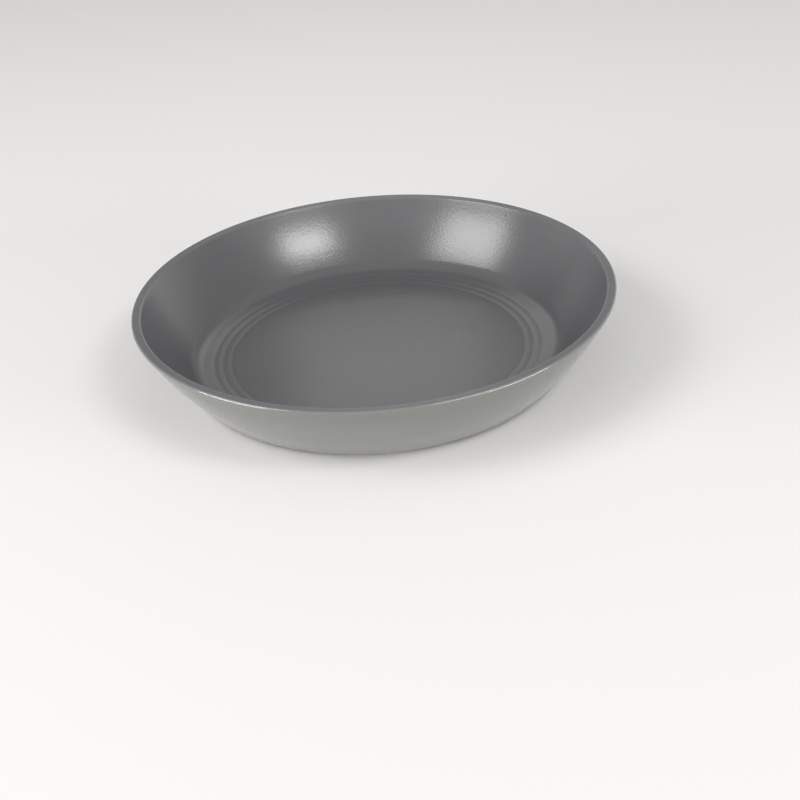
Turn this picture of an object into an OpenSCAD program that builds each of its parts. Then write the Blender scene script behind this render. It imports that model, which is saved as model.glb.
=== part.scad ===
// Shallow round pasta bowl in glazed stoneware.
// The origin is the middle of the foot's resting face, +Z is up, and lengths are in millimetres.
// Each piece is a profile turned about the bowl's axis, and a profile's points are [radius, height].

/* [Rim] */
// Outside diameter at the rim
rim_d = 230; // [200:1:260]
// Thickness of the wall across the top of the rim
rim_t = 4.2; // [3.8:0.1:6]
// Radius of the rim's outer edge
rim_outer_round = 0.9; // [0.7:0.1:1.5]
// Radius of the rim's inner edge
rim_inner_round = 1; // [0.7:0.1:1.5]

/* [Wall] */
// Overall height, from the resting face to the rim
bowl_h = 38; // [33:0.5:46]
// Lean of the outside wall at the rim, in degrees from upright
wall_lean = 28.5; // [24:0.5:34]
// Radius of the outside wall's bulge, from rim to base
outer_wall_r = 172; // [130:1:220]
// How much more the inside wall leans at the rim than the outside wall, in degrees
lean_flare = 1; // [0:0.5:3]
// How much the inside wall turns upright from the rim to the end of its flare, in degrees
flare_turn = 1; // [0.5:0.5:3]
// Radius of the inside wall's flare to the rim
flare_r = 130; // [100:5:180]
// Radius of the inside wall's hollow, from the flare to the well
inner_wall_r = 112; // [100:1:125]
// Radius of the turn from the outside wall to the underside
base_round = 1.5; // [1:0.1:3]

/* [Well] */
// Thickness of the floor, with its coats of glaze
floor_t = 4.75; // [4:0.25:6]
// Radius of the curve from the inside wall to the border of the floor
well_round = 12; // [8:0.5:14]
// Radius of the rise of the border, which runs from the flat floor to the wall's curve
border_r = 110; // [90:5:180]
// Number of shallow rings turned in the border
ring_count = 3; // [1:1:4]
// Width of a ring
ring_w = 3.7; // [2.5:0.1:4.5]
// Depth of a ring
ring_depth = 0.05; // [0.02:0.01:0.3]
// Smooth land between two rings
ring_gap = 0.5; // [0.3:0.1:1]
// Smooth land between the wall's curve and the first ring
ring_land = 2.9; // [2:0.1:4]
// Smooth land between the last ring and the flat floor
border_land = 1; // [0.5:0.1:4]

/* [Foot] */
// Height of the foot ring, which is the depth of the recess inside it
foot_h = 1.4; // [1.3:0.1:2.5]
// Width of the foot ring, over its glazed sides
foot_w = 5; // [4:0.25:9]
// Distance from the end of the base's turn in to the foot ring
foot_inset = 2.6; // [1.5:0.1:8]
// Radius of the bare lower edges of the foot ring
foot_edge_round = 0.4; // [0.2:0.1:0.5]
// Radius of the glazed corners between the foot ring and the underside
foot_corner_round = 0.5; // [0.3:0.1:0.5]

/* [Glaze] */
// Thickness of a coat of glaze
glaze_t = 0.4; // [0.2:0.05:0.6]
// Height of the bare clay band at the bottom of the foot ring
bare_h = 0.6; // [0.5:0.05:0.7]

/* [Hidden] */

// Most that a chord of a profile's arc may leave its curve
chord_error = 0.005;
// Points along a ring's curve
ring_steps = 12;
// Fineness of the turned shapes in a preview
turn_steps = 180;

clay_colour = "#cbbca6";
satin_glaze_colour = "#6f6f72";
smooth_glaze_colour = "#7b7a79";

rim_r = rim_d / 2;
floor_h = foot_h + floor_t;
inner_lean = wall_lean + lean_flare;
hollow_lean = inner_lean - flare_turn;

// Directions on an arc, in degrees: away from the axis, up, towards the axis, and down
outward = 0;
up = 90;
inward = 180;
down = -90;

// The rim's outer edge, and the bulge of the outside wall that runs on from it
rim_outer_centre = [rim_r - rim_outer_round, bowl_h - rim_outer_round];
outer_wall_centre = rim_outer_centre + (rim_outer_round - outer_wall_r) * wall_normal(wall_lean);

// The turn at the base, which touches the bulge and the underside
base_centre = blend_centre(outer_wall_centre, outer_wall_r, base_round, foot_h);
base_angle = angle_of(base_centre - outer_wall_centre);

// The rim's inner edge, and the flare and the hollow of the inside wall that run on from it
rim_inner_reach = rim_inner_round * tan((up - inner_lean) / 2);
rim_inner_centre = [rim_r - rim_t + rim_inner_reach, bowl_h - rim_inner_round];
flare_centre = rim_inner_centre + (flare_r - rim_inner_round) * wall_normal(inner_lean);
inner_wall_centre = flare_centre - (flare_r + inner_wall_r) * wall_normal(hollow_lean);
inner_edge_angle = inward - inner_lean;

// The curve at the foot of the inside wall, which runs from the hollow into the border
border_w = ring_end(ring_count - 1) + border_land;
border_slope = border_w / border_r * 180 / PI;
border_rise = (border_r - well_round) * (1 - cos(border_slope));
well_centre = blend_centre(inner_wall_centre, inner_wall_r, well_round, floor_h + border_rise);
well_angle = angle_of(well_centre - inner_wall_centre);

// The border's rise, which runs on into the flat floor
border_angle = down + border_slope;
border_centre = well_centre + (well_round - border_r) * [cos(border_angle), sin(border_angle)];

// The foot ring's glazed sides
foot_outer_r = base_centre.x - foot_inset;
foot_inner_r = foot_outer_r - foot_w;

// Normal of a leaning wall, pointing out and down
function wall_normal(lean) = [cos(lean), -sin(lean)];

// Direction of a vector, in degrees
function angle_of(v) = atan2(v.y, v.x);

// Middle of a round of the given radius that touches a larger arc from inside, and a level line from above
function blend_centre(big_centre, big_r, r, level) =
    let (rise = level + r - big_centre.y)
    [big_centre.x + sqrt((big_r - r) ^ 2 - rise ^ 2), level + r];

// Points along an arc, as many as the chord error asks for
function arc(centre, r, from, to) =
    let (steps = ceil(abs(to - from) / (2 * acos(1 - chord_error / r))))
    [for (i = [0:steps])
        let (angle = from + (to - from) * i / steps)
        centre + r * [cos(angle), sin(angle)]];

function reversed(points) = [for (i = [len(points) - 1:-1:0]) points[i]];

// Direction from the border's centre to a point at the given length along it, from the wall inward
function border_at(along) = border_angle - along / border_r * 180 / PI;

// Where a ring starts and ends along the border, counted from the wall
function ring_start(index) = ring_land + index * (ring_w + ring_gap);
function ring_end(index) = ring_start(index) + ring_w;

// Points across one ring, from its outer side inward, at the given depth under the glazed surface
function ring(index, depth) =
    [for (i = [0:ring_steps])
        let (angle = border_at(ring_start(index) + ring_w * i / ring_steps))
        let (cut = ring_depth * (1 - cos(360 * i / ring_steps)) / 2)
        border_centre + (border_r + depth + cut) * [cos(angle), sin(angle)]];

// Inside surface, from the top of the rim to the axis, at the given depth under the glazed surface
function inside_path(depth) = concat(
    [[rim_outer_centre.x, bowl_h - depth]],
    arc(rim_inner_centre, rim_inner_round - depth, up, inner_edge_angle),
    arc(flare_centre, flare_r - depth, inner_edge_angle, inward - hollow_lean),
    arc(inner_wall_centre, inner_wall_r + depth, -hollow_lean, well_angle),
    arc(well_centre, well_round + depth, well_angle, border_angle),
    [for (index = [0:1:ring_count - 2]) each ring(index, depth)],
    [for (i = [0:ring_steps - 1]) ring(ring_count - 1, depth)[i]],
    arc(border_centre, border_r + depth, border_at(ring_end(ring_count - 1)), down),
    [[0, floor_h - depth]]);

// Outside surface, from the top of the rim to the bare clay of the foot
function outside_path(depth) = concat(
    arc(rim_outer_centre, rim_outer_round - depth, up, -wall_lean),
    arc(outer_wall_centre, outer_wall_r - depth, -wall_lean, base_angle),
    arc(base_centre, base_round - depth, base_angle, down),
    arc([foot_outer_r, foot_h] + foot_corner_round * [1, -1], foot_corner_round + depth, up, inward),
    [[foot_outer_r - depth, bare_h]]);

// Recess inside the foot ring, from the axis to the bare clay of the foot
function underside_path(depth) = concat(
    [[0, foot_h + depth]],
    arc([foot_inner_r, foot_h] - foot_corner_round * [1, 1], foot_corner_round + depth, up, outward),
    [[foot_inner_r + depth, bare_h]]);

// Bare bottom of the foot ring, from its inner side to its outer side
function foot_path() =
    let (inner_r = foot_inner_r + glaze_t + foot_edge_round)
    let (outer_r = foot_outer_r - glaze_t - foot_edge_round)
    concat(
        arc([inner_r, foot_edge_round], foot_edge_round, -inward, down),
        arc([outer_r, foot_edge_round], foot_edge_round, down, outward));

// A closed profile turned about the axis
module turned(points) {
    rotate_extrude($fn = turn_steps)
        polygon(points);
}

// A coat of glaze: the space between a glazed surface and the clay under it
module coat(glazed, clay) {
    turned(concat(glazed, reversed(clay)));
}

module clay_body() {
    color(clay_colour)
        turned(concat(
            inside_path(glaze_t),
            underside_path(glaze_t),
            foot_path(),
            reversed(outside_path(glaze_t))));
}

module inside_glaze() {
    color(satin_glaze_colour)
        coat(inside_path(0), inside_path(glaze_t));
}

module outside_glaze() {
    color(smooth_glaze_colour)
        coat(outside_path(0), outside_path(glaze_t));
}

module underside_glaze() {
    color(smooth_glaze_colour)
        coat(underside_path(0), underside_path(glaze_t));
}

clay_body();
inside_glaze();
outside_glaze();
underside_glaze();
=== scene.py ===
"""Looks of a shallow pasta bowl: grey glaze over stoneware, on a plain pale floor. Lengths are in metres."""

import math

import bmesh
import bpy
from mathutils import Matrix, Vector
from mathutils.kdtree import KDTree


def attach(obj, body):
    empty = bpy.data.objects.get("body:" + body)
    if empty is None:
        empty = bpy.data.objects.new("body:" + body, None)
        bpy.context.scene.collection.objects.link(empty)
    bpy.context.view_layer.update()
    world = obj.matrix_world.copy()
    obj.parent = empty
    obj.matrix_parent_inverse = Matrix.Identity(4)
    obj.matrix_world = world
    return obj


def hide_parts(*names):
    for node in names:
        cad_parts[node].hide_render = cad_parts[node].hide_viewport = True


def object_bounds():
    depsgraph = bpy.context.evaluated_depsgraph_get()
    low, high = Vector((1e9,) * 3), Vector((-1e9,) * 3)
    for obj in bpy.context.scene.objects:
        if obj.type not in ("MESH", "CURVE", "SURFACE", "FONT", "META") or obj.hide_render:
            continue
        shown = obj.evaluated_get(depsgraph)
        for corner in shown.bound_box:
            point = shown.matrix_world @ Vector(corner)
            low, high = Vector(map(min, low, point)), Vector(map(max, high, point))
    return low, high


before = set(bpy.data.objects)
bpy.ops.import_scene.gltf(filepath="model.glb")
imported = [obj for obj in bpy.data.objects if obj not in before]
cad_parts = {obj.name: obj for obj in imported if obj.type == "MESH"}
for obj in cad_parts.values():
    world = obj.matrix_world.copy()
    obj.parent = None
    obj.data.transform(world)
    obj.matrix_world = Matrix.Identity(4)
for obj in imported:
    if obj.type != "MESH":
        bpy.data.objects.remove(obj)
cad_box = [list(corner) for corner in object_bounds()]
BOWL_HEIGHT = cad_box[1][2]
WHITE = (1, 1, 1, 1)

# Camera, from the outline of the rim and base in the photograph
PICTURE_PX = 800
RIM_CENTRE_PX = (373.0, 288.95)
LENS_MM = 70.0
SENSOR_MM = 36.0
VIEW_ELEVATION = math.radians(30.1)
VIEW_ROLL = math.radians(4.67)
VIEW_DEPTH = 0.7409

# Turned pieces
TURN_STEPS = 512
SAME_RING = 5e-6
SHARP_TURN = math.radians(40)

# Both glazes: soft clouds in the tone and roughness, and a fine grain
CLOUDS_PER_METRE = 22.0
CLOUDS_DETAIL = 3.0
CLOUDS_RANGE = (0.3, 0.7)
ROUGHNESS_SWING = 0.01
GRAIN_PER_METRE = 800.0
GRAIN_DETAIL = 2.0
GRAIN_DEPTH = 0.000042
GLAZE_IOR = 1.75

# Each glaze, with pairs of a share of the bowl's height and the share of its tone that shows there, which
# paints light into the tone
SATIN = {
    "dark": (0.107, 0.1075, 0.1125, 1),
    "light": (0.121, 0.1215, 0.1265, 1),
    "roughness": 0.24,
    "grain_strength": 1.0,
    # Painted highlight: the tone is raised at the top of the inside rim to stand in for the light it catches
    "painted_light_shares": ((0.0, 0.71), (0.97, 0.71), (0.995, 0.93)),
}
SMOOTH = {
    "dark": (0.322, 0.3235, 0.309, 1),
    "light": (0.348, 0.349, 0.333, 1),
    "roughness": 0.12,
    "grain_strength": 0.03,
    # Painted bounce light: the tone is lighter towards the base, where light from the floor falls
    "painted_light_shares": ((0.03, 1.0), (0.12, 0.8), (0.4, 0.58), (0.85, 0.44)),
}

# Bare clay on the foot
CLAY_COLOUR = (0.52, 0.43, 0.32, 1)
CLAY_ROUGHNESS = 0.9
CLAY_GRAIN_PER_METRE = 700.0
CLAY_GRAIN_DETAIL = 4.0
CLAY_GRAIN_STRENGTH = 0.5
CLAY_GRAIN_DEPTH = 0.0002
SPECK_COLOUR = (0.16, 0.11, 0.07, 1)
SPECKS_PER_METRE = 900.0
SPECKS_DETAIL = 3.0
SPECKS_RANGE = (0.62, 0.7)

# Floor
FLOOR_HALF = 12.0
FLOOR_COLOUR = (0.722, 0.714, 0.702, 1)
FLOOR_ROUGHNESS = 0.6

# Lamps: angles in degrees, with the bearing from the front to the right, width and height, and radiance
LAMP_DISTANCE = 1.5
LAMPS = {
    "right_lamp": {"bearing": 44.1, "elevation": 49.1, "size": (0.56, 0.32), "roll": -15, "radiance": 10.2},
    "left_lamp": {"bearing": -70.7, "elevation": 43.6, "size": (0.80, 0.575), "roll": 20, "radiance": 6.1},
    "low_right_lamp": {"bearing": 60, "elevation": 10, "size": (0.80, 0.24), "roll": 0, "radiance": 19.0},
    "low_left_lamp": {"bearing": -66, "elevation": 10, "size": (0.90, 0.24), "roll": 0, "radiance": 21.0},
    "back_lamp": {"bearing": 179.5, "elevation": 31.6, "size": (0.17, 0.11), "roll": 0, "radiance": 0.9,
                  "distance": 0.6},
}

# Light from all round: one level in front, levels behind that change with height, and a darker side
FRONT_LIGHT = 0.8
FRONT_REACH = (-0.75, 0.05)
BACK_LIGHTS = ((0.0, 1.1), (0.1, 1.05), (0.4, 0.36), (0.6, 0.36), (1.0, 0.7))
DARK_SIDE = (-0.55, 0.77, 0.32)
DARK_SIDE_REACH = (0.86, 0.95)
DARK_SIDE_SHARE = 0.55


def section(node):
    """The outline of a turned CAD node: its points in order, each a radius and a height."""
    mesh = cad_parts[node].data
    places = [vertex.co for vertex in mesh.vertices]
    flat = [Vector((math.hypot(place.x, place.y), place.z, 0)) for place in places]
    tree = KDTree(len(flat))
    for index, place in enumerate(flat):
        tree.insert(place, index)
    tree.balance()
    # Vertices with the same radius and height form one ring
    ring_of, rings = {}, []
    for index, place in enumerate(flat):
        if index not in ring_of:
            for _, same, _ in tree.find_range(place, SAME_RING):
                ring_of[same] = len(rings)
            rings.append((place.x, place.y))
    beside = {ring: set() for ring in range(len(rings))}
    for edge in mesh.edges:
        first, second = (ring_of[index] for index in edge.vertices)
        if first != second:
            beside[first].add(second)
            beside[second].add(first)
    # The path goes all the way round, or from one flat face on the axis to the other
    ends = [ring for ring in beside if len(beside[ring]) == 1]
    path = [ends[0] if ends else 0]
    while True:
        onward = [ring for ring in beside[path[-1]] if ring not in path]
        if not onward:
            break
        path.append(onward[0])
    outline = [rings[ring] for ring in path]
    if ends:
        outline = [(0.0, outline[0][1])] + outline + [(0.0, outline[-1][1])]
    return outline


def turn_at(outline, index):
    """How far the outline turns at a point, as an angle."""
    before, here, after = (Vector(outline[(index + step) % len(outline)]) for step in (-1, 0, 1))
    return (here - before).angle(after - here, 0.0)


def lathe(name, outline):
    """A closed mesh, made by turning an outline about the bowl's axis."""
    bm = bmesh.new()
    angles = [math.tau * step / TURN_STEPS for step in range(TURN_STEPS)]
    rings = []
    for radius, height in outline:
        if radius == 0:
            rings.append([bm.verts.new((0, 0, height))] * TURN_STEPS)
        else:
            places = [(radius * math.cos(angle), radius * math.sin(angle), height) for angle in angles]
            rings.append([bm.verts.new(place) for place in places])
    for index, ring in enumerate(rings):
        following = rings[(index + 1) % len(rings)]
        for step in range(TURN_STEPS):
            after = (step + 1) % TURN_STEPS
            corners = dict.fromkeys((ring[step], ring[after], following[after], following[step]))
            if len(corners) > 2:
                bm.faces.new(corners).smooth = True
    bmesh.ops.recalc_face_normals(bm, faces=bm.faces)
    for index, ring in enumerate(rings):
        if outline[index][0] > 0 and turn_at(outline, index) > SHARP_TURN:
            for step in range(TURN_STEPS):
                bm.edges.get((ring[step], ring[(step + 1) % TURN_STEPS])).smooth = False
    mesh = bpy.data.meshes.new(name)
    bm.to_mesh(mesh)
    bm.free()
    piece = bpy.data.objects.new(name, mesh)
    bpy.context.collection.objects.link(piece)
    normals = piece.modifiers.new("normals", "WEIGHTED_NORMAL")
    normals.mode = "FACE_AREA"
    normals.keep_sharp = True
    return piece


def set_stops(elements, stops):
    """Gives a colour ramp its stops, as pairs of a position and a grey level."""
    while len(elements) < len(stops):
        elements.new(1.0)
    for element, (position, level) in zip(elements, stops):
        element.position = position
        element.color = (level, level, level, 1)


class Nodes:
    """A material's node tree, with short calls to add and join nodes."""

    def __init__(self, name):
        self.material = bpy.data.materials.new(name)
        self.material.use_nodes = True
        self.tree = self.material.node_tree
        self.shader = self.tree.nodes["Principled BSDF"]
        self.place = self.add("ShaderNodeTexCoord").outputs["Object"]

    def add(self, kind, settings=None, **inputs):
        """A new node. In the name of an input, an underscore stands for a space."""
        node = self.tree.nodes.new(kind)
        for key, value in (settings or {}).items():
            setattr(node, key, value)
        for key, value in inputs.items():
            self.put(node.inputs[key.replace("_", " ")], value)
        return node

    def put(self, socket, value):
        """Links an output to a socket, or sets the socket's own value."""
        if isinstance(value, bpy.types.NodeSocket):
            self.tree.links.new(value, socket)
        else:
            socket.default_value = value

    def noise(self, scale, detail):
        node = self.add("ShaderNodeTexNoise", Vector=self.place, Scale=scale, Detail=detail)
        return node.outputs["Fac"]

    def spread(self, value, low, high, to_low=0.0, to_high=1.0):
        """Takes the range from low to high onto another range."""
        node = self.add(
            "ShaderNodeMapRange", Value=value, From_Min=low, From_Max=high, To_Min=to_low, To_Max=to_high)
        return node.outputs["Result"]

    def blend(self, share, first, second):
        node = self.add("ShaderNodeMix", {"data_type": "RGBA"})
        self.put(node.inputs["Factor"], share)
        self.put(node.inputs["A"], first)
        self.put(node.inputs["B"], second)
        return node.outputs["Result"]

    def ramp(self, value, stops):
        node = self.add("ShaderNodeValToRGB", Fac=value)
        set_stops(node.color_ramp.elements, stops)
        return node.outputs["Color"]

    def bump(self, height, strength, distance):
        node = self.add("ShaderNodeBump", Height=height, Strength=strength, Distance=distance)
        return node.outputs["Normal"]


def glaze(name, dark, light, roughness, grain_strength, painted_light_shares):
    """A grey glaze with a fine grain and a clouded tone, of which given shares show at rising heights as
    painted light: a painted highlight on the inside rim and painted floor bounce light towards the outside
    base.
    """
    nodes = Nodes(name)
    clouds = nodes.noise(CLOUDS_PER_METRE, CLOUDS_DETAIL)
    grain = nodes.noise(GRAIN_PER_METRE, GRAIN_DETAIL)
    tone = nodes.blend(nodes.spread(clouds, *CLOUDS_RANGE), dark, light)
    height = nodes.add("ShaderNodeSeparateXYZ", Vector=nodes.place).outputs["Z"]
    # Painted light: the tone is scaled by height, lighter where light falls brightest
    share = nodes.ramp(nodes.spread(height, 0.0, BOWL_HEIGHT), painted_light_shares)
    shown = nodes.add("ShaderNodeVectorMath", {"operation": "MULTIPLY"})
    nodes.put(shown.inputs[0], tone)
    nodes.put(shown.inputs[1], share)
    clouded_roughness = nodes.spread(
        clouds, *CLOUDS_RANGE, roughness - ROUGHNESS_SWING, roughness + ROUGHNESS_SWING)
    nodes.put(nodes.shader.inputs["Base Color"], shown.outputs["Vector"])
    nodes.put(nodes.shader.inputs["Roughness"], clouded_roughness)
    nodes.put(nodes.shader.inputs["Normal"], nodes.bump(grain, grain_strength, GRAIN_DEPTH))
    nodes.shader.inputs["IOR"].default_value = GLAZE_IOR
    return nodes.material


def clay():
    """Bare fired stoneware, warm and matt, with dark specks."""
    nodes = Nodes("bare_stoneware")
    specks = nodes.spread(nodes.noise(SPECKS_PER_METRE, SPECKS_DETAIL), *SPECKS_RANGE)
    grain = nodes.noise(CLAY_GRAIN_PER_METRE, CLAY_GRAIN_DETAIL)
    nodes.put(nodes.shader.inputs["Base Color"], nodes.blend(specks, CLAY_COLOUR, SPECK_COLOUR))
    nodes.put(nodes.shader.inputs["Normal"], nodes.bump(grain, CLAY_GRAIN_STRENGTH, CLAY_GRAIN_DEPTH))
    nodes.shader.inputs["Roughness"].default_value = CLAY_ROUGHNESS
    return nodes.material


def make_bowl():
    """The three coats, turned again in fine steps, and the look of the clay body."""
    satin = glaze("satin_grey_glaze", **SATIN)
    smooth = glaze("smooth_grey_glaze", **SMOOTH)
    coats = [
        ("glaze_inside", "inside_glaze", "satin_glaze", satin),
        ("glaze_outside", "outside_glaze", "smooth_glaze", smooth),
        ("glaze_underside", "underside_glaze", "smooth_glaze", smooth),
    ]
    for name, node, slot, material in coats:
        piece = lathe(name, section(node))
        piece.data.materials.append(material)
        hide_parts(node)
        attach(piece, "root")
    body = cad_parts["clay_body"]
    body.material_slots[0].material = clay()


def make_floor():
    """A wide, plain and pale floor at the height of the bowl's foot."""
    mesh = bpy.data.meshes.new("floor")
    sides = ((-1, -1), (1, -1), (1, 1), (-1, 1))
    corners = [(x * FLOOR_HALF, y * FLOOR_HALF, 0) for x, y in sides]
    mesh.from_pydata(corners, [], [(0, 1, 2, 3)])
    floor = bpy.data.objects.new("floor", mesh)
    bpy.context.collection.objects.link(floor)
    nodes = Nodes("pale_floor")
    nodes.shader.inputs["Base Color"].default_value = FLOOR_COLOUR
    nodes.shader.inputs["Roughness"].default_value = FLOOR_ROUGHNESS
    mesh.materials.append(nodes.material)


def make_lamp(name, bearing, elevation, size, roll, radiance, distance=LAMP_DISTANCE):
    """A soft rectangular lamp that faces the bowl."""
    data = bpy.data.lights.new(name, "AREA")
    data.shape = "RECTANGLE"
    data.size, data.size_y = size
    data.energy = radiance * math.pi * size[0] * size[1]
    turn = Matrix.Rotation(math.radians(bearing), 3, "Z")
    tilt = Matrix.Rotation(math.pi / 2 - math.radians(elevation), 3, "X")
    spin = Matrix.Rotation(math.radians(roll), 3, "Z")
    facing = turn @ tilt @ spin
    lamp = bpy.data.objects.new(name, data)
    lamp.visible_camera = False
    lamp.matrix_world = Matrix.LocRotScale(distance * facing.col[2], facing.to_quaternion(), None)
    bpy.context.collection.objects.link(lamp)


def make_world():
    """Soft light from all round, brighter from the front and low behind, and darker to one side."""
    world = bpy.data.worlds.new("studio")
    world.use_nodes = True
    nodes, links = world.node_tree.nodes, world.node_tree.links
    place = nodes.new("ShaderNodeTexCoord").outputs["Generated"]
    split = nodes.new("ShaderNodeSeparateXYZ")
    links.new(place, split.inputs[0])
    # Levels behind, by height
    behind = nodes.new("ShaderNodeValToRGB")
    links.new(split.outputs["Z"], behind.inputs["Fac"])
    set_stops(behind.color_ramp.elements, BACK_LIGHTS)
    # From the level in front to those behind, by how far a direction points to the back
    level = nodes.new("ShaderNodeMapRange")
    level.interpolation_type = "SMOOTHSTEP"
    links.new(split.outputs["Y"], level.inputs["Value"])
    level.inputs["From Min"].default_value, level.inputs["From Max"].default_value = FRONT_REACH
    level.inputs["To Min"].default_value = FRONT_LIGHT
    links.new(behind.outputs["Color"], level.inputs["To Max"])
    # The share that is kept, by how far a direction points to the darker side
    aside = nodes.new("ShaderNodeVectorMath")
    aside.operation = "DOT_PRODUCT"
    links.new(place, aside.inputs[0])
    aside.inputs[1].default_value = DARK_SIDE
    kept = nodes.new("ShaderNodeMapRange")
    kept.interpolation_type = "SMOOTHSTEP"
    links.new(aside.outputs["Value"], kept.inputs["Value"])
    kept.inputs["From Min"].default_value, kept.inputs["From Max"].default_value = DARK_SIDE_REACH
    kept.inputs["To Min"].default_value = 1.0
    kept.inputs["To Max"].default_value = 1.0 - DARK_SIDE_SHARE
    strength = nodes.new("ShaderNodeMath")
    strength.operation = "MULTIPLY"
    links.new(level.outputs["Result"], strength.inputs[0])
    links.new(kept.outputs["Result"], strength.inputs[1])
    background = nodes["Background"]
    links.new(strength.outputs["Value"], background.inputs["Strength"])
    background.inputs["Color"].default_value = WHITE
    bpy.context.scene.world = world


def make_camera():
    """A camera turned and placed so that the rim's middle falls on its pixel in the photograph."""
    data = bpy.data.cameras.new("camera")
    data.lens = LENS_MM
    data.sensor_width = SENSOR_MM
    ahead = Vector((0, math.cos(VIEW_ELEVATION), -math.sin(VIEW_ELEVATION)))
    level_right = Vector((1, 0, 0))
    level_down = ahead.cross(level_right)
    right = math.cos(VIEW_ROLL) * level_right + math.sin(VIEW_ROLL) * level_down
    down = math.cos(VIEW_ROLL) * level_down - math.sin(VIEW_ROLL) * level_right
    metres_per_px = VIEW_DEPTH * SENSOR_MM / (LENS_MM * PICTURE_PX)
    across, below = ((px - PICTURE_PX / 2) * metres_per_px for px in RIM_CENTRE_PX)
    rim_centre = Vector((0, 0, BOWL_HEIGHT))
    place = rim_centre - across * right - below * down - VIEW_DEPTH * ahead
    turn = Matrix((right, -down, -ahead)).transposed()
    camera = bpy.data.objects.new("camera", data)
    camera.matrix_world = Matrix.LocRotScale(place, turn.to_quaternion(), None)
    bpy.context.collection.objects.link(camera)
    bpy.context.scene.camera = camera


make_bowl()
make_floor()
for lamp_name, lamp_values in LAMPS.items():
    make_lamp(lamp_name, **lamp_values)
make_world()
make_camera()
bpy.context.scene.view_settings.view_transform = "Standard"
